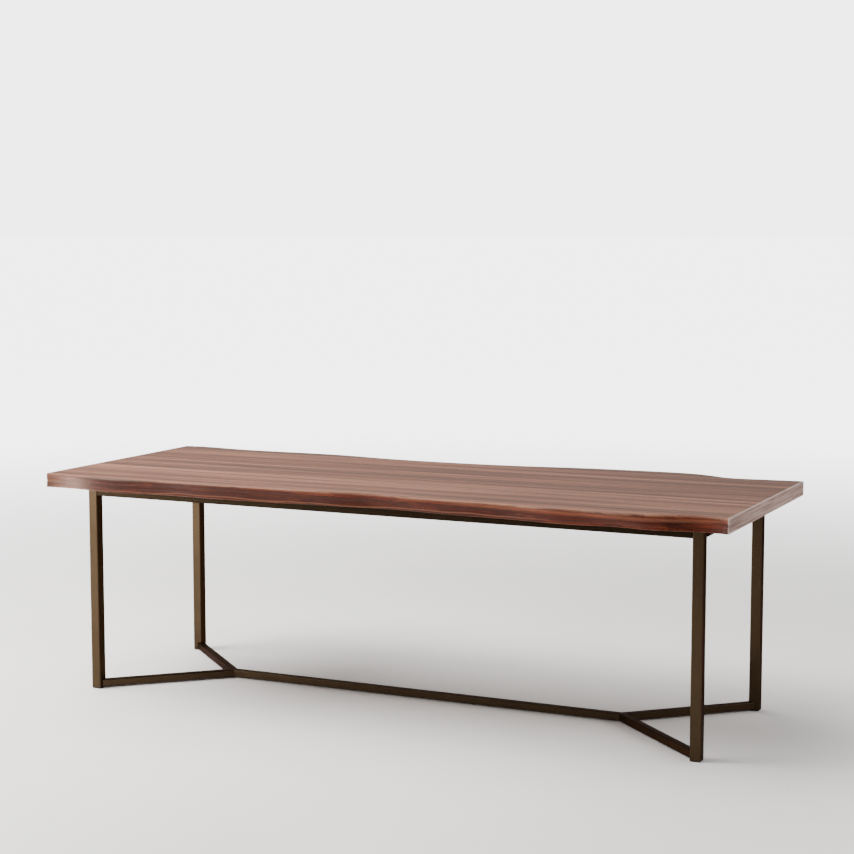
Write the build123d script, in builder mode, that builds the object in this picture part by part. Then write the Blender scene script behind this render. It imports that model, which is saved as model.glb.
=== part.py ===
"""Dining table: a butcher block top of edge-glued walnut boards on a welded steel base.

Millimetres. X runs along the table, Y across it with the front at -Y, and Z up.
The origin is on the floor, under the middle of the top.
"""

import os

from build123d import *

os.makedirs("parts", exist_ok=True)

# ---- Whole table ----
table_height = 762
top_length = 2400
top_thickness = 48
frame_length = 2195
frame_width = 700
node_spacing = 1457  # between the two points where the low braces meet the stretcher

half_length = top_length / 2
top_underside = table_height - top_thickness

# ---- Steel tube ----
tube_side = 35  # legs and top rails
tube_wall = 2
tube_corner = 3.5
brace_side = 25  # low braces and stretcher
brace_corner = 2.5

leg_x = (frame_length - tube_side) / 2
leg_y = (frame_width - tube_side) / 2
half_rail = leg_x - tube_side / 2
half_cross_rail = leg_y - tube_side / 2
node_x = node_spacing / 2

# ---- Feet ----
foot_height = 4
foot_side = 33
foot_corner = 3
foot_taper = 1.5
plug_side = 24
plug_wall = 2.5
plug_height = 22
fin_side = tube_side - 2 * tube_wall
fin_corner = 2.5
fin_thickness = 1.2
fin_pitch = 7
fin_count = 3

leg_length = top_underside - foot_height
rail_z = top_underside - tube_side / 2
brace_z = foot_height + brace_side / 2
leg_cap_thickness = 3

# ---- Fixing of the top: slotted tabs, screws and threaded inserts ----
tab_side = 40
tab_thickness = 4
tab_corner = 4
slot_width = 6.8
slot_length = 15
slot_reach = 19  # from the rail's face to the middle of the slot
long_rail_tab_x = (300, 850)
end_rail_tab_y = 195
centre_rail_tab_y = 65

screw_radius = 2.9
screw_grip = 16
head_radius = 5.25
head_height = 3.3
head_round = 2
socket_radius = 2.3
socket_depth = 2
washer_radius = 8
washer_hole_radius = 3.3
washer_thickness = 1.6
insert_radius = 5
insert_bore_radius = 3
insert_length = 14
insert_flange_radius = 6.5
insert_flange = 1

tab_underside = top_underside - tab_thickness
washer_underside = tab_underside - washer_thickness
long_tab_y = half_cross_rail - slot_reach
end_tab_x = half_rail - slot_reach
centre_tab_x = tube_side / 2 + slot_reach

front_screws = [(side * x, -long_tab_y) for side in (-1, 1) for x in long_rail_tab_x]
back_screws = [(x, -y) for x, y in front_screws]
left_screws = [(-end_tab_x, -end_rail_tab_y), (-end_tab_x, end_rail_tab_y)]
right_screws = [(-x, y) for x, y in left_screws]
centre_screws = [(centre_tab_x, -centre_rail_tab_y), (centre_tab_x, centre_rail_tab_y)]
all_screws = front_screws + back_screws + left_screws + right_screws + centre_screws

# ---- Top boards, from the back to the front, and the glue lines between them ----
arris_radius = 2
glue_lines = [372, 236, 104, -18, -154, -282, -362]

# The natural edges wander along the table, and lean in towards the underside between its ends.
back_edge_top = [
    (-half_length, 449), (-1100, 457), (-1000, 444), (-750, 438), (-500, 438), (-382, 422),
    (-100, 404), (100, 412), (220, 426), (340, 449), (480, 469), (640, 481), (760, 484.5),
    (830, 476), (880, 458), (940, 430), (1050, 432), (1125, 441), (half_length, 449),
]
back_edge_underside = [
    (-half_length, 449), (-1090, 447), (-960, 434), (-560, 430), (-380, 410), (-80, 393),
    (160, 404), (330, 434), (500, 456), (740, 470), (860, 454), (950, 420), (1120, 434),
    (half_length, 449),
]
front_edge_top = [
    (-half_length, -450), (-1070, -462), (-950, -482), (-870, -484.5), (-725, -468), (-590, -472),
    (-475, -464), (-320, -454), (-120, -446), (5, -430), (160, -446), (380, -453), (530, -459),
    (660, -478), (760, -472), (850, -484), (960, -472), (1045, -447), (half_length, -448),
]
front_edge_underside = [
    (-half_length, -450), (-1010, -459), (-890, -471), (-765, -452), (-560, -455), (-420, -451),
    (-250, -442), (-60, -430), (120, -418), (280, -440), (520, -449), (640, -463), (785, -461),
    (860, -453), (945, -465), (1085, -443), (half_length, -448),
]


def save(part, name):
    part.label = name
    export_step(part, f"parts/{name}.step")


# =========================== The top ===========================


def round_board_ends(board):
    """Soften the upper and lower arris across both ends of a board."""
    fillet(board.edges().filter_by(Axis.Y), radius=arris_radius)


def straight_board(name, back_y, front_y):
    screws_here = [point for point in all_screws if front_y < point[1] < back_y]
    with BuildPart() as board:
        with BuildSketch(Plane.XY.offset(top_underside)):
            with Locations((0, (back_y + front_y) / 2)):
                Rectangle(top_length, back_y - front_y)
        extrude(amount=top_thickness)
        round_board_ends(board)
        # Blind holes for the inserts, each with a recess for the insert's flange.
        for radius, depth in ((insert_radius, insert_length), (insert_flange_radius, insert_flange)):
            if screws_here:
                with BuildSketch(Plane.XY.offset(top_underside)):
                    with Locations(*screws_here):
                        Circle(radius)
                extrude(amount=depth, mode=Mode.SUBTRACT)
    save(board.part, name)


def live_edge_board(name, glue_y, edge_top, edge_underside):
    with BuildPart() as board:
        for height, edge in ((top_underside, edge_underside), (table_height, edge_top)):
            with BuildSketch(Plane.XY.offset(height)):
                with BuildLine():
                    Spline(*edge)
                    Polyline(edge[-1], (half_length, glue_y), (-half_length, glue_y), edge[0])
                make_face()
        loft(ruled=True)
        round_board_ends(board)
    save(board.part, name)


live_edge_board("live_edge_board_back", glue_lines[0], back_edge_top, back_edge_underside)
for number, (back_y, front_y) in enumerate(zip(glue_lines, glue_lines[1:]), start=1):
    straight_board(f"top_board_{number}", back_y, front_y)
live_edge_board("live_edge_board_front", glue_lines[-1], front_edge_top, front_edge_underside)

# =========================== The welded base ===========================


def tube_section(side, corner):
    RectangleRounded(side, side, corner)
    bore = side - 2 * tube_wall
    RectangleRounded(bore, bore, corner - tube_wall, mode=Mode.SUBTRACT)


corners = [(x_name, x_sign, y_name, y_sign) for x_name, x_sign in (("left", -1), ("right", 1))
           for y_name, y_sign in (("front", -1), ("back", 1))]

for x_name, x_sign, y_name, y_sign in corners:
    with BuildPart() as leg:
        with BuildSketch(Plane.XY.offset(foot_height)):
            with Locations((x_sign * leg_x, y_sign * leg_y)):
                tube_section(tube_side, tube_corner)
        extrude(amount=leg_length)
    save(leg.part, f"leg_{y_name}_{x_name}")

    with BuildPart() as leg_cap:
        with BuildSketch(Plane.XY.offset(top_underside)):
            with Locations((x_sign * leg_x, y_sign * leg_y)):
                RectangleRounded(fin_side, fin_side, tube_corner - tube_wall)
        extrude(amount=-leg_cap_thickness)
    save(leg_cap.part, f"leg_cap_{y_name}_{x_name}")

for y_name, y_sign in (("front", -1), ("back", 1)):
    with BuildPart() as long_rail:
        with BuildSketch(Plane.YZ.offset(-half_rail)):
            with Locations((y_sign * leg_y, rail_z)):
                tube_section(tube_side, tube_corner)
        extrude(amount=2 * half_rail)
    save(long_rail.part, f"top_rail_{y_name}")

for name, rail_x in (("end_rail_left", -leg_x), ("centre_rail", 0), ("end_rail_right", leg_x)):
    with BuildPart() as cross_rail:
        with BuildSketch(Plane.XZ.offset(-half_cross_rail)):
            with Locations((rail_x, rail_z)):
                tube_section(tube_side, tube_corner)
        extrude(amount=2 * half_cross_rail)
    save(cross_rail.part, name)

# Three low tubes meet at each end of the stretcher, mitred on the lines that halve their angles.
brace_run = Vector(leg_x - node_x, leg_y).length
brace_overrun = 2 * brace_side
across = (leg_x - node_x) / brace_run
along = leg_y / brace_run


def node_point(x_sign):
    return (x_sign * node_x, 0, brace_z)


def mitre_normal(x_sign, y_sign):
    """Normal of the seam between the stretcher and a brace, pointing to the brace's side."""
    return (x_sign * (across + 1), y_sign * along, 0)


for x_name, x_sign, y_name, y_sign in corners:
    run = Vector(x_sign * across, y_sign * along, 0)
    start = Vector(node_point(x_sign)) - run * brace_overrun
    with BuildPart() as brace:
        with BuildSketch(Plane(origin=start, x_dir=(-run.Y, run.X, 0), z_dir=run)):
            tube_section(brace_side, brace_corner)
        extrude(amount=brace_overrun + brace_run)
        split(bisect_by=Plane(origin=node_point(x_sign), z_dir=(0, y_sign, 0)), keep=Keep.TOP)
        split(bisect_by=Plane(origin=node_point(x_sign), z_dir=mitre_normal(x_sign, y_sign)),
              keep=Keep.TOP)
        # The end is notched to sit round the leg's inner corner.
        with BuildSketch():
            with Locations((x_sign * leg_x, y_sign * leg_y)):
                RectangleRounded(tube_side, tube_side, tube_corner)
        extrude(amount=leg_length, mode=Mode.SUBTRACT)
    save(brace.part, f"low_brace_{y_name}_{x_name}")

with BuildPart() as stretcher:
    with BuildSketch(Plane.YZ.offset(-node_x - brace_overrun)):
        with Locations((0, brace_z)):
            tube_section(brace_side, brace_corner)
    extrude(amount=2 * (node_x + brace_overrun))
    for x_name, x_sign, y_name, y_sign in corners:
        split(bisect_by=Plane(origin=node_point(x_sign), z_dir=mitre_normal(x_sign, y_sign)),
              keep=Keep.BOTTOM)
save(stretcher.part, "low_stretcher")

# =========================== Feet ===========================

for x_name, x_sign, y_name, y_sign in corners:
    foot_centre = (x_sign * leg_x, y_sign * leg_y)
    with BuildPart() as foot:
        with BuildSketch():
            with Locations(foot_centre):
                RectangleRounded(foot_side, foot_side, foot_corner)
        extrude(amount=foot_height)
        chamfer(foot.faces().sort_by(Axis.Z)[0].edges(), length=foot_taper)
        with BuildSketch(Plane.XY.offset(foot_height)):
            with Locations(foot_centre):
                RectangleRounded(plug_side, plug_side, foot_corner)
                plug_bore = plug_side - 2 * plug_wall
                Rectangle(plug_bore, plug_bore, mode=Mode.SUBTRACT)
        extrude(amount=plug_height)
        for fin in range(1, fin_count + 1):
            with BuildSketch(Plane.XY.offset(foot_height + fin * fin_pitch - fin_thickness)):
                with Locations(foot_centre):
                    RectangleRounded(fin_side, fin_side, fin_corner)
                    RectangleRounded(plug_side - 1, plug_side - 1, fin_corner, mode=Mode.SUBTRACT)
            extrude(amount=fin_thickness)
    save(foot.part, f"foot_glide_{y_name}_{x_name}")

# =========================== Fixing of the top ===========================


def slotted_tabs(name, screws, offset):
    """Tabs that stand out from a rail, level with its top; the slots let the top move in Y."""
    with BuildPart() as tabs:
        with BuildSketch(Plane.XY.offset(tab_underside)):
            with Locations(*[(x + offset[0], y + offset[1]) for x, y in screws]):
                RectangleRounded(tab_side, tab_side, tab_corner)
            with Locations(*screws):
                SlotOverall(slot_length, slot_width, rotation=90, mode=Mode.SUBTRACT)
        extrude(amount=tab_thickness)
    save(tabs.part, name)


tab_shift = tab_side / 2 - slot_reach
slotted_tabs("tabs_front_rail", front_screws, (0, tab_shift))
slotted_tabs("tabs_back_rail", back_screws, (0, -tab_shift))
slotted_tabs("tabs_left_rail", left_screws, (tab_shift, 0))
slotted_tabs("tabs_right_rail", right_screws, (-tab_shift, 0))
slotted_tabs("tabs_centre_rail", centre_screws, (tab_shift, 0))

with BuildPart() as washers:
    with BuildSketch(Plane.XY.offset(washer_underside)):
        with Locations(*all_screws):
            Circle(washer_radius)
            Circle(washer_hole_radius, mode=Mode.SUBTRACT)
    extrude(amount=washer_thickness)
save(washers.part, "top_washers")

with BuildPart() as screws:
    with BuildSketch(Plane.XY.offset(washer_underside)):
        with Locations(*all_screws):
            Circle(head_radius)
    extrude(amount=-head_height)
    fillet(screws.faces().group_by(Axis.Z)[0].edges(), radius=head_round)
    with BuildSketch(Plane.XY.offset(washer_underside)):
        with Locations(*all_screws):
            Circle(screw_radius)
    extrude(amount=screw_grip)
    with BuildSketch(Plane.XY.offset(washer_underside - head_height)):
        with Locations(*all_screws):
            RegularPolygon(radius=socket_radius, side_count=6)
    extrude(amount=socket_depth, mode=Mode.SUBTRACT)
save(screws.part, "top_screws")

with BuildPart() as inserts:
    for radius, length in ((insert_radius, insert_length), (insert_flange_radius, insert_flange)):
        with BuildSketch(Plane.XY.offset(top_underside)):
            with Locations(*all_screws):
                Circle(radius)
                Circle(insert_bore_radius, mode=Mode.SUBTRACT)
        extrude(amount=length)
save(inserts.part, "threaded_inserts")
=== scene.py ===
"""Looks for the butcher block table, in metres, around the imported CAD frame.

X runs along the table, the front is at -Y and Z is up.
"""

import math

import bmesh
import bpy
import numpy as np
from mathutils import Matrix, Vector


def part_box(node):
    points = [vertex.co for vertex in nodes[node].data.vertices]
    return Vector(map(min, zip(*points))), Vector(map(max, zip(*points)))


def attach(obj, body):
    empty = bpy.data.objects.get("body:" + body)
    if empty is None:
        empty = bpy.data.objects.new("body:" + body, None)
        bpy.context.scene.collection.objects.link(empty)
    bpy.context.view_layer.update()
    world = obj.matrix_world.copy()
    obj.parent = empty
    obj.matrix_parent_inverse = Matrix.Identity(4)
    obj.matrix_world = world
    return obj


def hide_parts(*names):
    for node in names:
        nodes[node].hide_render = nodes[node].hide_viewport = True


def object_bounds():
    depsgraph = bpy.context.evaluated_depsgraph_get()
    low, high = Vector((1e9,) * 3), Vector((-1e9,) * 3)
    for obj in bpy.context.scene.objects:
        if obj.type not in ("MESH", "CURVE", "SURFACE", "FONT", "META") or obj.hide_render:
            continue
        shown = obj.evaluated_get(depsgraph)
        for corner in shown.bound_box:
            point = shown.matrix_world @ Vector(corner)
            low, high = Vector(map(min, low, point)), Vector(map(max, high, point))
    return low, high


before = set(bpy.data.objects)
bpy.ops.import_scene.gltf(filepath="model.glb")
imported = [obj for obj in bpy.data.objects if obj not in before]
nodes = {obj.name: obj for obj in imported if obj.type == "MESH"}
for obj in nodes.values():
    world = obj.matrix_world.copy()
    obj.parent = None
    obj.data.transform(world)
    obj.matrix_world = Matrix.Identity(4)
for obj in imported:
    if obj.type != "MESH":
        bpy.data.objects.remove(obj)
cad_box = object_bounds()

MM = 0.001
TOP_Z = cad_box[1].z
UNDERSIDE_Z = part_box("top_board_1")[0].z
END_X = cad_box[1].x
END_Y = 0.450  # half the top's width at its ends

# =========================== Material nodes ===========================


class Graph:
    """A material with a Principled shader, and short calls that add its nodes."""

    def __init__(self, name):
        self.material = bpy.data.materials.new(name)
        self.material.use_nodes = True
        self.tree = self.material.node_tree
        self.shader = self.tree.nodes["Principled BSDF"]
        self.place = self.add("ShaderNodeTexCoord").outputs["Object"]

    def add(self, kind, **settings):
        node = self.tree.nodes.new(kind)
        for key, value in settings.items():
            setattr(node, key, value)
        return node

    def feed(self, socket, value):
        if isinstance(value, bpy.types.NodeSocket):
            self.tree.links.new(value, socket)
        else:
            socket.default_value = value

    def calc(self, operation, *values, clamp=False):
        node = self.add("ShaderNodeMath", operation=operation, use_clamp=clamp)
        for socket, value in zip(node.inputs, values):
            self.feed(socket, value)
        return node.outputs[0]

    def stretch(self, scale, offset=(0, 0, 0)):
        """The place, multiplied by a scale on each axis and moved by an offset."""
        node = self.add("ShaderNodeVectorMath", operation="MULTIPLY_ADD")
        self.feed(node.inputs[0], self.place)
        self.feed(node.inputs[1], scale)
        self.feed(node.inputs[2], offset)
        return node.outputs[0]

    def noise(self, vector, detail=3.0, roughness=0.55):
        node = self.add("ShaderNodeTexNoise")
        self.feed(node.inputs["Vector"], vector)
        self.feed(node.inputs["Scale"], 1.0)
        self.feed(node.inputs["Detail"], detail)
        self.feed(node.inputs["Roughness"], roughness)
        return node.outputs["Fac"]

    def ramp(self, value, low, high, to_low=0.0, to_high=1.0, smooth=True):
        node = self.add("ShaderNodeMapRange")
        node.interpolation_type = "SMOOTHSTEP" if smooth else "LINEAR"
        for socket, number in zip(node.inputs, (value, low, high, to_low, to_high)):
            self.feed(socket, number)
        return node.outputs[0]

    def mix(self, factor, a, b, blend="MIX"):
        node = self.add("ShaderNodeMix", data_type="RGBA", blend_type=blend)
        self.feed(node.inputs["Factor"], factor)
        self.feed(node.inputs["A"], rgba(a))
        self.feed(node.inputs["B"], rgba(b))
        return node.outputs["Result"]

    def axes(self):
        node = self.add("ShaderNodeSeparateXYZ")
        self.feed(node.inputs[0], self.place)
        return node.outputs

    def length(self, vector):
        node = self.add("ShaderNodeVectorMath", operation="LENGTH")
        self.feed(node.inputs[0], vector)
        return node.outputs["Value"]

    def bump(self, height, distance, strength):
        node = self.add("ShaderNodeBump")
        self.feed(node.inputs["Height"], height)
        self.feed(node.inputs["Distance"], distance)
        self.feed(node.inputs["Strength"], strength)
        return node.outputs[0]

    def edge_mask(self, radius):
        """Near 1 on outside corners, 0 on flats: where a bevelled normal leaves the true one."""
        bevel = self.add("ShaderNodeBevel", samples=6)
        bevel.inputs["Radius"].default_value = radius
        flat = self.add("ShaderNodeNewGeometry").outputs["Normal"]
        node = self.add("ShaderNodeVectorMath", operation="DOT_PRODUCT")
        self.feed(node.inputs[0], bevel.outputs[0])
        self.feed(node.inputs[1], flat)
        away = self.calc("SUBTRACT", 1.0, node.outputs["Value"])
        return self.ramp(away, 0.02, 0.25)

    def set(self, **values):
        for key, value in values.items():
            self.feed(self.shader.inputs[key.replace("_", " ")], value)


def rgba(colour):
    if isinstance(colour, bpy.types.NodeSocket):
        return colour
    return (*colour, 1.0)


def srgb(red, green, blue):
    """Linear colour from the usual 0 to 255 numbers."""
    return tuple((c / 255 / 12.92) if c <= 10 else ((c / 255 + 0.055) / 1.055) ** 2.4
                 for c in (red, green, blue))


# =========================== Walnut ===========================

WALNUT_PALE = (0.250, 0.115, 0.065)
WALNUT_MID = (0.142, 0.051, 0.028)
WALNUT_DARK = (0.046, 0.018, 0.010)
WALNUT_PORE = (0.026, 0.010, 0.007)
END_PALE_AND_SHEEN = (0.380, 0.268, 0.232)
END_DARK = (0.170, 0.108, 0.092)
ARRIS_HIGHLIGHT = (0.34, 0.22, 0.18)
ARRIS_HIGHLIGHT_END = (0.62, 0.50, 0.44)
EDGE_TINT_AND_SHADE = (0.64, 0.28, 0.18)
PAINTED_HIGHLIGHT = (0.62, 0.38, 0.31)
PAINTED_HIGHLIGHT_X = -1.085
PAINTED_HIGHLIGHT_REACH = 0.06
KNOT_DARK = (0.040, 0.014, 0.010)


def walnut(name, board, tone, lean, seed, pith, ring_pitch, knots=(), lines=()):
    """Walnut sawn from a log whose pith runs along X at (y, z) = pith.

    tone shifts the colour from dark (0) to light (1), and lean makes the board's back edge
    lighter than its front edge. knots are (x, y, z, size), and lines are single streaks that
    show on a natural edge: (height, from x, to x, half thickness, strength, colour).
    """
    g = Graph(name)
    shift = (seed * 3.7, seed * 1.3, seed * 2.1)

    # The log isn't straight: the rings wander slowly along the board.
    wander = g.noise(g.stretch((0.9, 3.0, 3.0), shift), detail=2.0)
    ripple = g.noise(g.stretch((4.0, 9.0, 9.0), shift), detail=3.0)
    x, y, z = g.axes()
    log_y = g.calc("ADD", g.calc("SUBTRACT", y, pith[0]), g.calc("MULTIPLY", wander, 0.055))
    log_z = g.calc("ADD", g.calc("SUBTRACT", z, pith[1]), g.calc("MULTIPLY", ripple, 0.006))
    log = g.add("ShaderNodeCombineXYZ")
    g.feed(log.inputs[1], log_y)
    g.feed(log.inputs[2], log_z)
    depth = g.length(log.outputs[0])

    # Round a knot the rings bulge, and its heart is darker.
    hearts = []
    for knot_x, knot_y, knot_z, size in knots:
        away = g.stretch((0.38 / size, 1 / size, 1 / size),
                         (-knot_x * 0.38 / size, -knot_y / size, -knot_z / size))
        near = g.calc("EXPONENT", g.calc("MULTIPLY", g.calc("POWER", g.length(away), 2.0), -1.0))
        depth = g.calc("MULTIPLY_ADD", near, size * 0.9, depth)
        hearts.append(g.ramp(near, 0.55, 1.0, 0.0, 0.5))

    # Growth rings: each darkens slowly, then ends in a thin dark line.
    turns = g.calc("ADD", g.calc("DIVIDE", depth, ring_pitch), g.calc("MULTIPLY", ripple, 1.2))
    phase = g.calc("FRACT", turns)
    late = g.calc("MULTIPLY", g.ramp(phase, 0.25, 0.88), g.ramp(phase, 1.0, 0.93))
    ring_strength = g.ramp(g.noise(g.stretch((0.7, 12.0, 12.0), shift), detail=2.0), 0.3, 0.7, 0.25, 0.95)
    rings = g.calc("MULTIPLY", late, ring_strength)

    # Broad colour streaks, fine fibre, and open pores drawn out along the grain.
    broad = g.noise(g.stretch((0.30, 19.0, 19.0), shift), detail=3.0, roughness=0.62)
    narrow = g.noise(g.stretch((0.9, 70.0, 70.0), shift), detail=4.0, roughness=0.65)
    fibre = g.noise(g.stretch((9.0, 620.0, 620.0), shift), detail=3.0, roughness=0.7)
    pore = g.ramp(g.noise(g.stretch((55.0, 1500.0, 1500.0), shift), detail=1.0), 0.60, 0.72)

    low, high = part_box(board)
    across = g.ramp(y, low.y, high.y, -lean / 2, lean / 2, smooth=False)
    streak = g.calc("ADD", g.calc("MULTIPLY", broad, 1.1), g.calc("MULTIPLY", narrow, 0.7))
    streak = g.calc("ADD", g.calc("ADD", streak, across), (tone - 0.5) * 0.42)
    light = g.ramp(streak, 0.76, 1.08, smooth=False)
    vein = g.ramp(g.noise(g.stretch((0.36, 40.0, 40.0), shift), detail=4.0, roughness=0.7), 0.53, 0.59)
    pale = g.ramp(g.noise(g.stretch((0.30, 31.0, 31.0), shift[::-1]), detail=4.0, roughness=0.7), 0.54, 0.61)
    colour = g.mix(g.ramp(light, 0.0, 0.5), WALNUT_DARK, WALNUT_MID)
    colour = g.mix(g.ramp(light, 0.45, 1.0), colour, WALNUT_PALE)
    colour = g.mix(g.calc("MULTIPLY", pale, 0.68), colour, WALNUT_PALE)
    colour = g.mix(g.calc("MULTIPLY", vein, 0.88), colour, WALNUT_DARK)
    colour = g.mix(g.calc("MULTIPLY", rings, 0.38), colour, WALNUT_DARK)
    colour = g.mix(g.ramp(fibre, 0.3, 0.75, 0.0, 0.24), colour, WALNUT_PALE)
    colour = g.mix(g.calc("MULTIPLY", pore, 0.5), colour, WALNUT_PORE)
    for heart in hearts:
        colour = g.mix(heart, colour, KNOT_DARK)
    if lines:
        # The natural edge is tinted darker and redder than the top, but for its left end. The tint is partly
        # the edge's own colour and partly painted shade on the side face; the paler, untinted left end is a
        # painted highlight.
        side = g.calc("MULTIPLY", g.ramp(z, TOP_Z - 3 * MM, TOP_Z - 10 * MM),
                      g.ramp(z, UNDERSIDE_Z + 0.3 * MM, UNDERSIDE_Z + 2 * MM))
        edge_tint_and_shade_mask = g.calc("MULTIPLY", side, g.ramp(x, -1.10, -0.93))
        colour = g.mix(edge_tint_and_shade_mask, colour, EDGE_TINT_AND_SHADE, blend="MULTIPLY")
        fine = g.ramp(g.noise(g.stretch((1.3, 0.0, 150.0), shift), detail=3.0, roughness=0.65), 0.50, 0.60)
        colour = g.mix(g.calc("MULTIPLY", g.calc("MULTIPLY", fine, edge_tint_and_shade_mask), 0.55), colour, KNOT_DARK)
        # Painted, not reflected: a pale patch where the photo has a soft highlight.
        off = g.calc("DIVIDE", g.calc("SUBTRACT", x, PAINTED_HIGHLIGHT_X), PAINTED_HIGHLIGHT_REACH)
        painted_highlight = g.calc("EXPONENT", g.calc("MULTIPLY", g.calc("MULTIPLY", off, off), -1.0))
        painted_highlight = g.calc("MULTIPLY", g.calc("MULTIPLY", painted_highlight, side), 0.28)
        colour = g.mix(painted_highlight, colour, PAINTED_HIGHLIGHT)
    for height, start, stop, thick, strength, shade in lines:
        drift = g.ramp(g.noise(g.stretch((2.6, 0.0, 0.0), shift), detail=2.0), 0.3, 0.7, -5 * MM, 5 * MM)
        off = g.calc("DIVIDE", g.calc("SUBTRACT", z, g.calc("ADD", drift, height)), thick)
        band = g.calc("EXPONENT", g.calc("MULTIPLY", g.calc("POWER", g.calc("ABSOLUTE", off), 2.0), -1.0))
        reach = g.calc("MULTIPLY", g.ramp(x, start, start + 0.15), g.ramp(x, stop, stop - 0.15))
        colour = g.mix(g.calc("MULTIPLY", g.calc("MULTIPLY", band, reach), strength), colour, shade)

    # The sawn ends: paler, partly the end grain's own colour and partly a painted sheen, dotted with pores,
    # with fine streaks along the saw's cut.
    end = g.ramp(g.calc("ABSOLUTE", x), END_X - 0.9 * MM, END_X - 0.2 * MM)
    cut = g.noise(g.stretch((0.0, 3.5, 200.0)), detail=5.0, roughness=0.7)
    cloud = g.noise(g.stretch((0.0, 4.0, 70.0)), detail=2.0)
    speck = g.noise(g.stretch((1.0, 900.0, 900.0), shift), detail=2.0, roughness=0.8)
    cut = g.calc("ADD", cut, g.calc("MULTIPLY", cloud, 0.4))
    end_colour = g.mix(g.ramp(cut, 0.58, 0.82), END_DARK, END_PALE_AND_SHEEN)
    end_colour = g.mix(g.calc("MULTIPLY", rings, 0.22), end_colour, END_DARK)
    end_colour = g.mix(g.ramp(speck, 0.5, 0.72, 0.0, 0.3), end_colour, END_DARK)
    colour = g.mix(end, colour, end_colour)

    # Painted highlight: the arrises are painted a little paler.
    arris_highlight = g.edge_mask(3 * MM)
    colour = g.mix(g.calc("MULTIPLY", arris_highlight, 0.4), colour, ARRIS_HIGHLIGHT)
    # Painted highlight: the sawn ends' top arris and upright corners are painted paler still.
    end_arris_highlight = g.calc("MAXIMUM", g.ramp(z, TOP_Z - 4.5 * MM, TOP_Z - 1.5 * MM),
                 g.ramp(g.calc("ABSOLUTE", y), END_Y - 6 * MM, END_Y - 3 * MM))
    end_arris_highlight = g.calc("MULTIPLY", end_arris_highlight, g.ramp(g.calc("ABSOLUTE", x), END_X - 4 * MM, END_X - 1.5 * MM))
    colour = g.mix(g.calc("MULTIPLY", end_arris_highlight, 0.55), colour, ARRIS_HIGHLIGHT_END)

    relief = g.calc("ADD", g.calc("MULTIPLY", pore, -1.0), g.calc("MULTIPLY", fibre, 0.35))
    relief = g.calc("SUBTRACT", relief, g.calc("MULTIPLY", late, 0.25))
    gloss = g.calc("ADD", g.ramp(fibre, 0.2, 0.8, 0.36, 0.48), g.calc("MULTIPLY", pore, 0.14))
    g.set(Base_Color=colour, Roughness=gloss, Normal=g.bump(relief, 0.12 * MM, 0.5))
    g.set(Specular_IOR_Level=0.15)
    return g.material


# =========================== Metal and plastic ===========================


def bronze_coat(name, depth):
    """Satin bronze powder coat: faint orange peel, mottling, and corners painted brighter as a highlight.

    depth multiplies the colour: 1 is the coat itself, and less is darker, a painted shade.
    """
    g = Graph(name)
    mottle = g.noise(g.stretch((7.0, 7.0, 7.0)), detail=4.0, roughness=0.6)
    grain = g.noise(g.stretch((900.0, 900.0, 900.0)), detail=2.0)
    peel = g.noise(g.stretch((240.0, 240.0, 240.0)), detail=2.0)
    colour = g.mix(g.ramp(mottle, 0.3, 0.7), (0.042, 0.0275, 0.0155), (0.050, 0.033, 0.0185))
    colour = g.mix(g.ramp(grain, 0.45, 0.8, 0.0, 0.35), colour, (0.030, 0.020, 0.011))
    # Painted highlight: the corners are painted brighter.
    colour = g.mix(g.calc("MULTIPLY", g.edge_mask(2 * MM), 0.3), colour, (0.11, 0.077, 0.045))
    rough = g.ramp(mottle, 0.2, 0.8, 0.27, 0.31)
    colour = g.mix(1.0, colour, (depth, depth, depth), blend="MULTIPLY")
    g.set(Base_Color=colour, Roughness=rough, Metallic=0.9, Specular_Tint=(0.34, 0.26, 0.18, 1.0))
    g.set(Normal=g.bump(g.calc("ADD", peel, g.calc("MULTIPLY", grain, 0.3)), 0.03 * MM, 0.25))
    return g.material


def weld_metal():
    """Coated weld bead: the same bronze, a little darker in its ripples."""
    g = Graph("weld_coat")
    ripple = g.noise(g.stretch((500.0, 500.0, 500.0)), detail=3.0)
    colour = g.mix(g.ramp(ripple, 0.3, 0.7), (0.034, 0.022, 0.013), (0.060, 0.040, 0.023))
    g.set(Base_Color=colour, Roughness=0.5, Metallic=0.85, Normal=g.bump(ripple, 0.15 * MM, 0.6))
    return g.material


def black_plastic():
    g = Graph("glide_plastic")
    spark = g.noise(g.stretch((1400.0, 1400.0, 1400.0)), detail=2.0)
    dust = g.noise(g.stretch((60.0, 60.0, 60.0)), detail=4.0, roughness=0.7)
    colour = g.mix(g.ramp(dust, 0.45, 0.8, 0.0, 0.5), srgb(20, 19, 18), srgb(46, 43, 40))
    g.set(Base_Color=colour, Roughness=g.ramp(dust, 0.2, 0.8, 0.5, 0.7))
    g.set(Normal=g.bump(spark, 0.05 * MM, 0.6))
    return g.material


def zinc_plate():
    g = Graph("zinc_plate")
    cloud = g.noise(g.stretch((120.0, 120.0, 120.0)), detail=4.0, roughness=0.7)
    scratch = g.noise(g.stretch((300.0, 2600.0, 300.0)), detail=2.0)
    colour = g.mix(g.ramp(cloud, 0.3, 0.7), srgb(150, 152, 150), srgb(196, 196, 188))
    g.set(Base_Color=colour, Roughness=g.ramp(cloud, 0.2, 0.8, 0.26, 0.42), Metallic=1.0)
    g.set(Normal=g.bump(scratch, 0.03 * MM, 0.4))
    return g.material


def turned_brass():
    g = Graph("turned_brass")
    rings = g.noise(g.stretch((40.0, 40.0, 3200.0)), detail=2.0)
    colour = g.mix(g.ramp(rings, 0.3, 0.7), srgb(176, 140, 78), srgb(214, 178, 108))
    g.set(Base_Color=colour, Roughness=0.3, Metallic=1.0, Normal=g.bump(rings, 0.05 * MM, 0.5))
    return g.material


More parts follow.
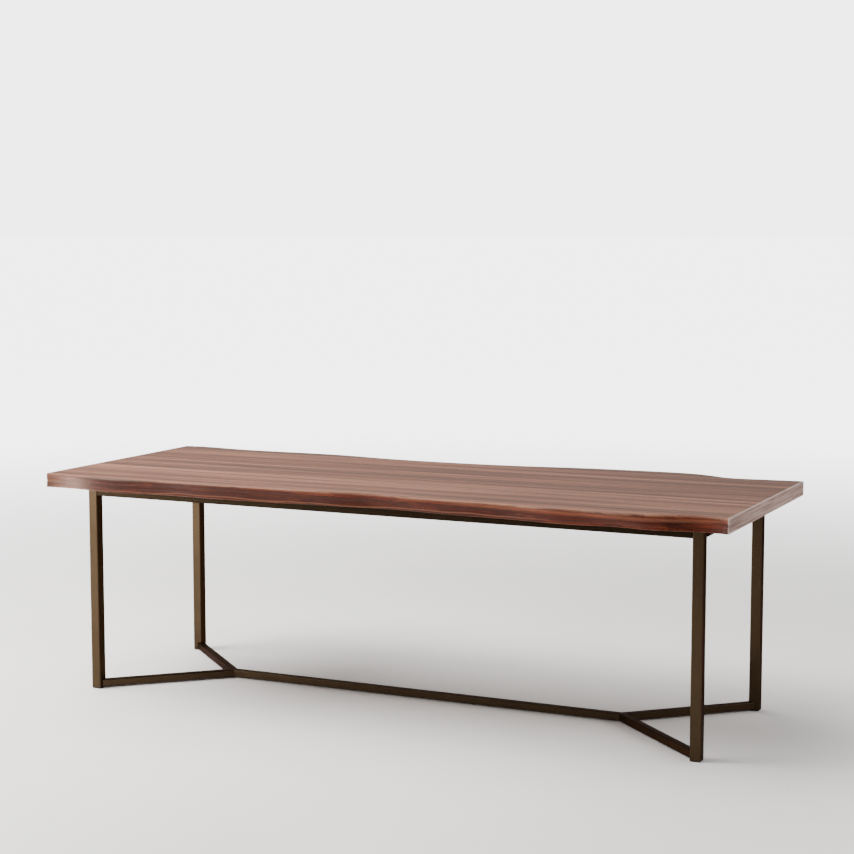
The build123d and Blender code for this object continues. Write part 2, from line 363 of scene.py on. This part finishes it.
def paint(piece, material):
    piece.data.materials.clear()
    piece.data.materials.append(material)


# =========================== Natural edges ===========================

STATION_STEP = 3.5 * MM
END_ROUND = 2 * MM


def outline_of(node, side, height):
    """The natural edge of a CAD board at one height: its x values and its y values."""
    points = {}
    for vertex in nodes[node].data.vertices:
        if abs(vertex.co.z - height) < 0.05 * MM:
            key = round(vertex.co.x, 5)
            points[key] = max(points.get(key, -10.0), side * vertex.co.y)
    xs = np.array(sorted(points))
    return xs, side * np.array([points[x] for x in xs])


def smooth_noise(x, z, seed):
    """Gentle waves along the edge, different at each height."""
    rng = np.random.default_rng(seed)
    total = np.zeros_like(x)
    for wave in range(14):
        length = 0.02 * 1.42 ** wave
        lean = rng.uniform(-30, 30)
        total += rng.uniform(0.4, 1.0) * (length / 0.3) ** 0.55 * np.sin(
            2 * math.pi * x / length + lean * z + rng.uniform(0, 2 * math.pi))
    return total / 4


def dent(x, z, centre_x, centre_z, wide, tall):
    return np.exp(-((x - centre_x) / wide) ** 2 - ((z - centre_z) / tall) ** 2)


def edge_profile(x, y_top, y_underside, side, glue_y, features, seed):
    """Points round one slice of a board, from the glue line out over the top and back below."""
    soft = 5 * MM + 3 * MM * float(np.clip((x - 0.35) / 0.3, 0, 1))
    soft += 1.2 * MM * math.sin(9 * x + seed)
    low_soft = 3.5 * MM + 1 * MM * math.sin(13 * x + 2 * seed)
    reach = abs(y_top - glue_y)
    slice_points = [(glue_y + side * reach * part, TOP_Z) for part in (0.0, 0.25, 0.5, 0.75)]
    slice_points.append((y_top - side * (soft + 2 * MM), TOP_Z))
    for step in range(7):
        angle = math.radians(90 - 13 * step)
        slice_points.append((y_top - side * soft * (1 - math.cos(angle)),
                             TOP_Z - soft * (1 - math.sin(angle))))
    face_top = TOP_Z - soft * (1 - math.sin(math.radians(12)))
    face_low = UNDERSIDE_Z + low_soft
    rows = 15
    for row in range(1, rows + 1):
        part = row / (rows + 1)
        z = face_top + (face_low - face_top) * part
        lean = part ** 1.3
        y = y_top + (y_underside - y_top) * lean
        hollow = 0.9 * MM * (1 + math.sin(2 * math.pi * part * 2.2 + 3 * x + seed)) * math.sin(math.pi * part)
        wave = 0.55 * MM * (1.6 + float(smooth_noise(np.array(x), np.array(z), seed)))
        for centre_x, centre_z, wide, tall, deep in features:
            hollow += deep * float(dent(x, z, centre_x, centre_z, wide, tall))
        slice_points.append((y - side * (hollow + wave * math.sin(math.pi * part)), z))
    for step in range(5):
        angle = math.radians(22.5 * step)
        slice_points.append((y_underside - side * low_soft * (1 - math.cos(angle)),
                             UNDERSIDE_Z + low_soft * (1 - math.sin(angle))))
    reach = abs(y_underside - glue_y)
    slice_points += [(glue_y + side * reach * part, UNDERSIDE_Z) for part in (0.7, 0.35, 0.0)]
    return slice_points


def inset_slice(points, amount, side):
    """The same slice with its top, face and underside drawn in, for the rounded board end."""
    drawn = []
    for y, z in points:
        z = min(max(z, UNDERSIDE_Z + amount), TOP_Z - amount)
        drawn.append((y, z))
    widest = max(side * y for y, z in drawn)
    return [(side * min(side * y, widest - amount), z) for y, z in drawn]


def natural_edge_board(name, node, side, features, seed):
    glue_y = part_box(node)[1].y if side < 0 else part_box(node)[0].y
    top_x, top_y = outline_of(node, side, TOP_Z)
    low_x, low_y = outline_of(node, side, UNDERSIDE_Z)
    ends = [(END_ROUND * (1 - math.cos(math.radians(a))), END_ROUND * (1 - math.sin(math.radians(a))))
            for a in (0, 22.5, 45, 67.5, 90)]
    middle = np.linspace(-END_X + END_ROUND, END_X - END_ROUND, int(2 * END_X / STATION_STEP))
    stations = [(-END_X + out, draw) for out, draw in ends[:-1]] + [(x, 0.0) for x in middle]
    stations += [(END_X - out, draw) for out, draw in reversed(ends[:-1])]
    mesh = bmesh.new()
    rings = []
    for x, draw in stations:
        y_top = float(np.interp(x, top_x, top_y))
        y_low = float(np.interp(x, low_x, low_y))
        points = edge_profile(x, y_top, y_low, side, glue_y, features, seed)
        if draw:
            points = inset_slice(points, draw, side)
        rings.append([mesh.verts.new((x, y, z)) for y, z in points])
    count = len(rings[0])
    for near, far in zip(rings, rings[1:]):
        for i in range(count):
            j = (i + 1) % count
            mesh.faces.new((near[i], near[j], far[j], far[i]))
    mesh.faces.new(rings[0])
    mesh.faces.new(list(reversed(rings[-1])))
    bmesh.ops.recalc_face_normals(mesh, faces=mesh.faces)
    return finish_mesh(mesh, name)


def finish_mesh(mesh, name, sharp_angle=40):
    """Make an object of a bmesh, smooth but for its sharp corners."""
    for face in mesh.faces:
        face.smooth = True
    for edge in mesh.edges:
        if len(edge.link_faces) == 2 and edge.calc_face_angle() > math.radians(sharp_angle):
            edge.smooth = False
    data = bpy.data.meshes.new(name)
    mesh.to_mesh(data)
    mesh.free()
    piece = bpy.data.objects.new(name, data)
    bpy.context.scene.collection.objects.link(piece)
    return piece


# =========================== Weld beads ===========================

BEAD_LEG = 3.5 * MM  # how far a bead reaches along each of the two faces it joins
RIPPLE_PITCH = 1.8 * MM


def weld_bead(mesh, start, end, face_a, face_b):
    """A rippled bead from start to end along an inside corner; the faces' normals are given."""
    start = Vector(start)
    run = Vector(end) - start
    face_a = Vector(face_a)
    face_b = Vector(face_b)
    steps = int(run.length / (RIPPLE_PITCH / 4))
    arc = 6
    rings = []
    for step in range(steps + 1):
        part = step / steps
        fade = min(1.0, 6 * part, 6 * (1 - part))
        ripple = abs(math.sin(math.pi * part * run.length / RIPPLE_PITCH))
        size = BEAD_LEG * (0.35 + 0.5 * fade + 0.15 * ripple)
        ring = []
        for turn in range(arc + 1):
            along = turn / arc
            bulge = 0.16 * size * math.sin(math.pi * along)
            place = start + run * part + face_a * size * (1 - along) + face_b * size * along
            ring.append(mesh.verts.new(place + (face_a + face_b) * bulge * (0.4 + 0.6 * ripple)))
        ring.append(mesh.verts.new(start + run * part - (face_a + face_b) * 0.4 * MM))
        rings.append(ring)
    count = len(rings[0])
    for near, far in zip(rings, rings[1:]):
        for i in range(count):
            j = (i + 1) % count
            mesh.faces.new((near[i], near[j], far[j], far[i]))
    mesh.faces.new(rings[0])
    mesh.faces.new(list(reversed(rings[-1])))


def weld_beads():
    """Beads under every top rail, where it meets a leg or the centre rail."""
    mesh = bmesh.new()
    inset = 5 * MM
    for end_rail in ("end_rail_left", "end_rail_right"):
        rail_low, rail_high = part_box(end_rail)
        for side_y in (-1, 1):
            # Under the end rail, against the leg's face towards the table's middle.
            y = rail_low.y if side_y < 0 else rail_high.y
            weld_bead(mesh, (rail_low.x + inset, y, rail_low.z), (rail_high.x - inset, y, rail_low.z),
                      (0, 0, -1), (0, -side_y, 0))
    for side_y, long_rail in ((-1, "top_rail_front"), (1, "top_rail_back")):
        rail_low, rail_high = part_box(long_rail)
        for side_x in (-1, 1):
            x = rail_low.x if side_x < 0 else rail_high.x
            weld_bead(mesh, (x, rail_low.y + inset, rail_low.z), (x, rail_high.y - inset, rail_low.z),
                      (0, 0, -1), (-side_x, 0, 0))
        # Up both sides of the centre rail, against the long rail's inner face.
        cross_low, cross_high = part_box("centre_rail")
        y = rail_high.y if side_y < 0 else rail_low.y
        for x, outwards in ((cross_low.x, -1), (cross_high.x, 1)):
            weld_bead(mesh, (x, y, cross_low.z + inset), (x, y, cross_high.z - 2 * inset),
                      (outwards, 0, 0), (0, -side_y, 0))
    bmesh.ops.recalc_face_normals(mesh, faces=mesh.faces)
    return finish_mesh(mesh, "weld_beads")


# =========================== The table ===========================

# Boards from the back to the front: tone, lean, the pith's (y, z), and the ring pitch.
BOARDS = {
    "live_edge_board_back": (0.30, -0.05, (0.30, 0.60), 5.2 * MM),
    "top_board_1": (0.60, 0.16, (0.33, 0.55), 6.0 * MM),
    "top_board_2": (0.42, -0.08, (0.05, 0.70), 4.4 * MM),
    "top_board_3": (0.42, 0.20, (0.10, 0.48), 5.4 * MM),
    "top_board_4": (0.50, 0.24, (-0.22, 0.66), 4.8 * MM),
    "top_board_5": (0.66, 0.24, (-0.10, 0.52), 5.8 * MM),
    "top_board_6": (0.66, 0.12, (-0.42, 0.60), 4.2 * MM),
    "live_edge_board_front": (0.60, 0.0, (-0.28, 0.58), 4.6 * MM),
}
RUST = (0.24, 0.088, 0.045)
PAINTED_SHADE_DEPTH = 0.36

NATURAL_EDGES = {
    "live_edge_board_front": {
        "name": "natural_edge_front", "side": -1, "seed": 11,
        "knots": ((-0.185, -0.440, 0.728, 0.020), (0.62, -0.462, 0.722, 0.014)),
        "lines": ((0.739, 0.28, 1.24, 1.7 * MM, 0.8, WALNUT_PORE),
                  (0.750, 0.25, 1.24, 5.0 * MM, 0.45, RUST),
                  (0.744, -0.98, 0.10, 3.0 * MM, 0.5, WALNUT_DARK),
                  (0.722, -1.02, 0.70, 2.0 * MM, 0.5, RUST)),
        "dents": ((-0.185, 0.727, 0.028, 0.012, 1.6 * MM), (0.62, 0.719, 0.016, 0.009, 1.4 * MM),
                  (0.28, 0.74, 0.05, 0.01, 0.8 * MM))},
    "live_edge_board_back": {
        "name": "natural_edge_back", "side": 1, "seed": 23,
        "knots": ((0.42, 0.462, 0.735, 0.018),),
        "lines": ((0.738, -0.70, 0.60, 2.0 * MM, 0.7, WALNUT_PORE),
                  (0.724, -0.20, 1.24, 2.5 * MM, 0.4, RUST)),
        "dents": ((0.42, 0.735, 0.03, 0.012, 1.5 * MM), (-0.6, 0.73, 0.06, 0.01, 0.8 * MM))},
}

for seed, (node, (tone, lean, pith, pitch)) in enumerate(BOARDS.items(), start=1):
    edge = NATURAL_EDGES.get(node, {"knots": (), "lines": ()})
    wood = walnut(f"walnut_{node}", node, tone, lean, seed, pith, pitch, edge["knots"], edge["lines"])
    paint(nodes[node], wood)
    if node in NATURAL_EDGES:
        board = natural_edge_board(edge["name"], node, edge["side"], edge["dents"], edge["seed"])
        paint(board, wood)
        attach(board, "root")
        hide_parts(node)

coat = bronze_coat("bronze_coat", 1.0)
# One coat on the real table. The top rails and tabs are darkened to match the photo's shadow.
painted_shade_coat = bronze_coat("bronze_coat_painted_shade", PAINTED_SHADE_DEPTH)
for node in nodes:
    if node.startswith(("leg_", "low_")):
        paint(nodes[node], coat)
    elif node.startswith(("top_rail", "end_rail", "centre_rail", "tabs_")):
        paint(nodes[node], painted_shade_coat)
beads = weld_beads()
paint(beads, weld_metal())
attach(beads, "root")
plastic = black_plastic()
for node in nodes:
    if node.startswith("foot_glide"):
        paint(nodes[node], plastic)
zinc = zinc_plate()
paint(nodes["top_screws"], zinc)
paint(nodes["top_washers"], zinc)
paint(nodes["threaded_inserts"], turned_brass())

# =========================== Studio ===========================

FLOOR_COLOUR = (0.89, 0.86, 0.83)
FLOOR_CLOUD = (0.84, 0.81, 0.78)
FLOOR_IN_BRONZE = (0.36, 0.25, 0.19)
BACKDROP_LEVEL = 4.4
ROOM_BACK = Vector((-0.56, 0.78, 0.28))  # the way to the bright side of the room


def floor_material():
    """A pale plain floor. Far out, the camera sees it fade into the bright backdrop.

    Glossy rays see it dark behind the table, which a real pale floor wouldn't look in the bronze.
    """
    g = Graph("studio_floor")
    cloud = g.noise(g.stretch((1.2, 1.2, 1.2)), detail=3.0)
    pale = g.mix(g.ramp(cloud, 0.3, 0.7, 0.0, 0.6), FLOOR_COLOUR, FLOOR_CLOUD)
    path = g.add("ShaderNodeLightPath")
    sight = path.outputs["Is Camera Ray"]
    behind = g.ramp(g.axes()[1], 0.15, 0.5)
    darkened = g.calc("MULTIPLY", behind, path.outputs["Is Glossy Ray"])
    g.set(Base_Color=g.mix(darkened, pale, FLOOR_IN_BRONZE), Roughness=0.6)
    glow = g.calc("MULTIPLY", g.ramp(g.length(g.place), 1.5, 9.0, 0.0, BACKDROP_LEVEL), sight)
    g.set(Emission_Color=(1.0, 1.0, 1.0, 1.0), Emission_Strength=glow)
    return g.material


def studio_floor():
    data = bpy.data.meshes.new("studio_floor")
    half = 300.0
    data.from_pydata([(-half, -half, 0), (half, -half, 0), (half, half, 0), (-half, half, 0)], [],
                     [(0, 1, 2, 3)])
    floor = bpy.data.objects.new("studio_floor", data)
    bpy.context.scene.collection.objects.link(floor)
    paint(floor, floor_material())


def soft_light(name, place, target, wide, tall, level):
    """A rectangular soft light whose face shines at the given level."""
    data = bpy.data.lights.new(name, "AREA")
    data.shape = "RECTANGLE"
    data.size = wide
    data.size_y = tall
    data.energy = level * math.pi * wide * tall
    light = bpy.data.objects.new(name, data)
    light.location = place
    light.rotation_euler = (Vector(target) - Vector(place)).to_track_quat("-Z", "Y").to_euler()
    light.visible_camera = False
    bpy.context.scene.collection.objects.link(light)


def pale_world():
    """The camera sees a plain pale backdrop. The table sees a room, bright at the back left."""
    world = bpy.data.worlds.new("pale_world")
    bpy.context.scene.world = world
    world.use_nodes = True
    tree = world.node_tree
    place = tree.nodes.new("ShaderNodeTexCoord")
    lean = tree.nodes.new("ShaderNodeVectorMath")
    lean.operation = "DOT_PRODUCT"
    lean.inputs[1].default_value = ROOM_BACK
    room = tree.nodes.new("ShaderNodeMapRange")
    room.interpolation_type = "SMOOTHSTEP"
    for socket, number in zip(room.inputs, (0.0, -0.2, 0.98, 0.05, 0.62)):
        socket.default_value = number
    sight = tree.nodes.new("ShaderNodeLightPath")
    level = tree.nodes.new("ShaderNodeMix")
    level.inputs["B"].default_value = BACKDROP_LEVEL
    tree.links.new(place.outputs["Generated"], lean.inputs[0])
    tree.links.new(lean.outputs["Value"], room.inputs[0])
    tree.links.new(sight.outputs["Is Camera Ray"], level.inputs["Factor"])
    tree.links.new(room.outputs[0], level.inputs["A"])
    tree.links.new(level.outputs["Result"], tree.nodes["Background"].inputs["Strength"])
    tree.nodes["Background"].inputs["Color"].default_value = (1.0, 1.0, 1.0, 1.0)


studio_floor()
pale_world()
soft_light("overhead", (-1.9, -0.4, 4.5), (-0.5, 0.1, 0.4), 5.6, 5.2, 5.1)
soft_light("left_pool", (-3.0, -1.2, 3.4), (-2.4, -1.1, 0.0), 2.2, 2.2, 17.0)
soft_light("left_window", (-4.65, -5.2, 1.1), (-1.1, -0.3, 0.7), 1.2, 2.2, 15.0)
soft_light("left_strip", (-5.7, -4.3, 1.0), (-1.1, -0.4, 0.7), 0.8, 2.0, 44.0)
soft_light("right_fill", (4.6, 0.2, 1.5), (1.2, 0.2, 0.7), 2.5, 2.0, 4.5)
soft_light("back_right_fill", (2.5, 1.1, 1.1), (1.2, 0.35, 0.72), 0.8, 0.8, 6.5)

camera_data = bpy.data.cameras.new("camera")
camera_data.lens = 79.27
camera_data.sensor_width = 36.0
camera = bpy.data.objects.new("camera", camera_data)
camera.location = (2.679, -5.687, 1.597)
camera.rotation_euler = (math.pi / 2 - 0.1055, 0.0, 0.4360)
bpy.context.scene.collection.objects.link(camera)
bpy.context.scene.camera = camera
